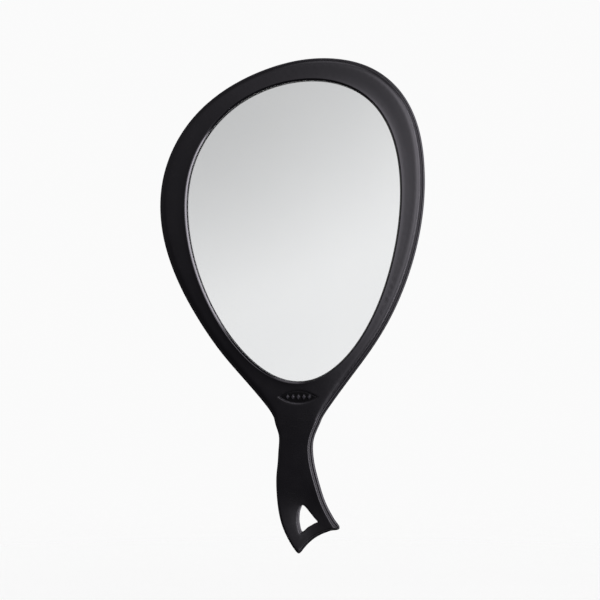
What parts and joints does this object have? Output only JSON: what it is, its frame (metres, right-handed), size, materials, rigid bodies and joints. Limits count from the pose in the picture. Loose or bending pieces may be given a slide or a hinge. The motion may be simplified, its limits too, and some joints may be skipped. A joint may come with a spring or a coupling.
{
  "type": "hand mirror",
  "caption": "Large egg-shaped salon hand mirror with a two-shell plastic frame, proud lip round the glass, and a curved handle with a hanging hole.",
  "frame": {"origin": "middle of the grip, on the plane where the front and rear shells meet", "axes": "+Z along the mirror from the handle to the top of the head, +X to the right when looking into the glass, -Y the way the glass faces"},
  "size_m": [0.241, 0.0171, 0.4459],
  "materials": {
    "shell": "satin black moulded plastic",
    "badge": "satin black moulded plastic",
    "mirror": "silvered glass",
    "tape": "black sealing tape",
    "foam": "closed-cell foam",
    "screw": "black oxide steel"
  },
  "bodies": {
    "root": {"front_shell": "shell", "rear_shell": "shell", "badge_plate": "badge", "mirror_pane": "mirror", "pane_tape": "tape", "foam_pad_1": "foam", "foam_pad_2": "foam", "foam_pad_3": "foam", "foam_pad_4": "foam", "foam_pad_5": "foam", "foam_pad_6": "foam", "screw_1": "screw", "screw_2": "screw", "screw_3": "screw", "screw_4": "screw", "screw_5": "screw", "screw_6": "screw", "screw_7": "screw", "screw_8": "screw"}
  },
  "joints": []
}
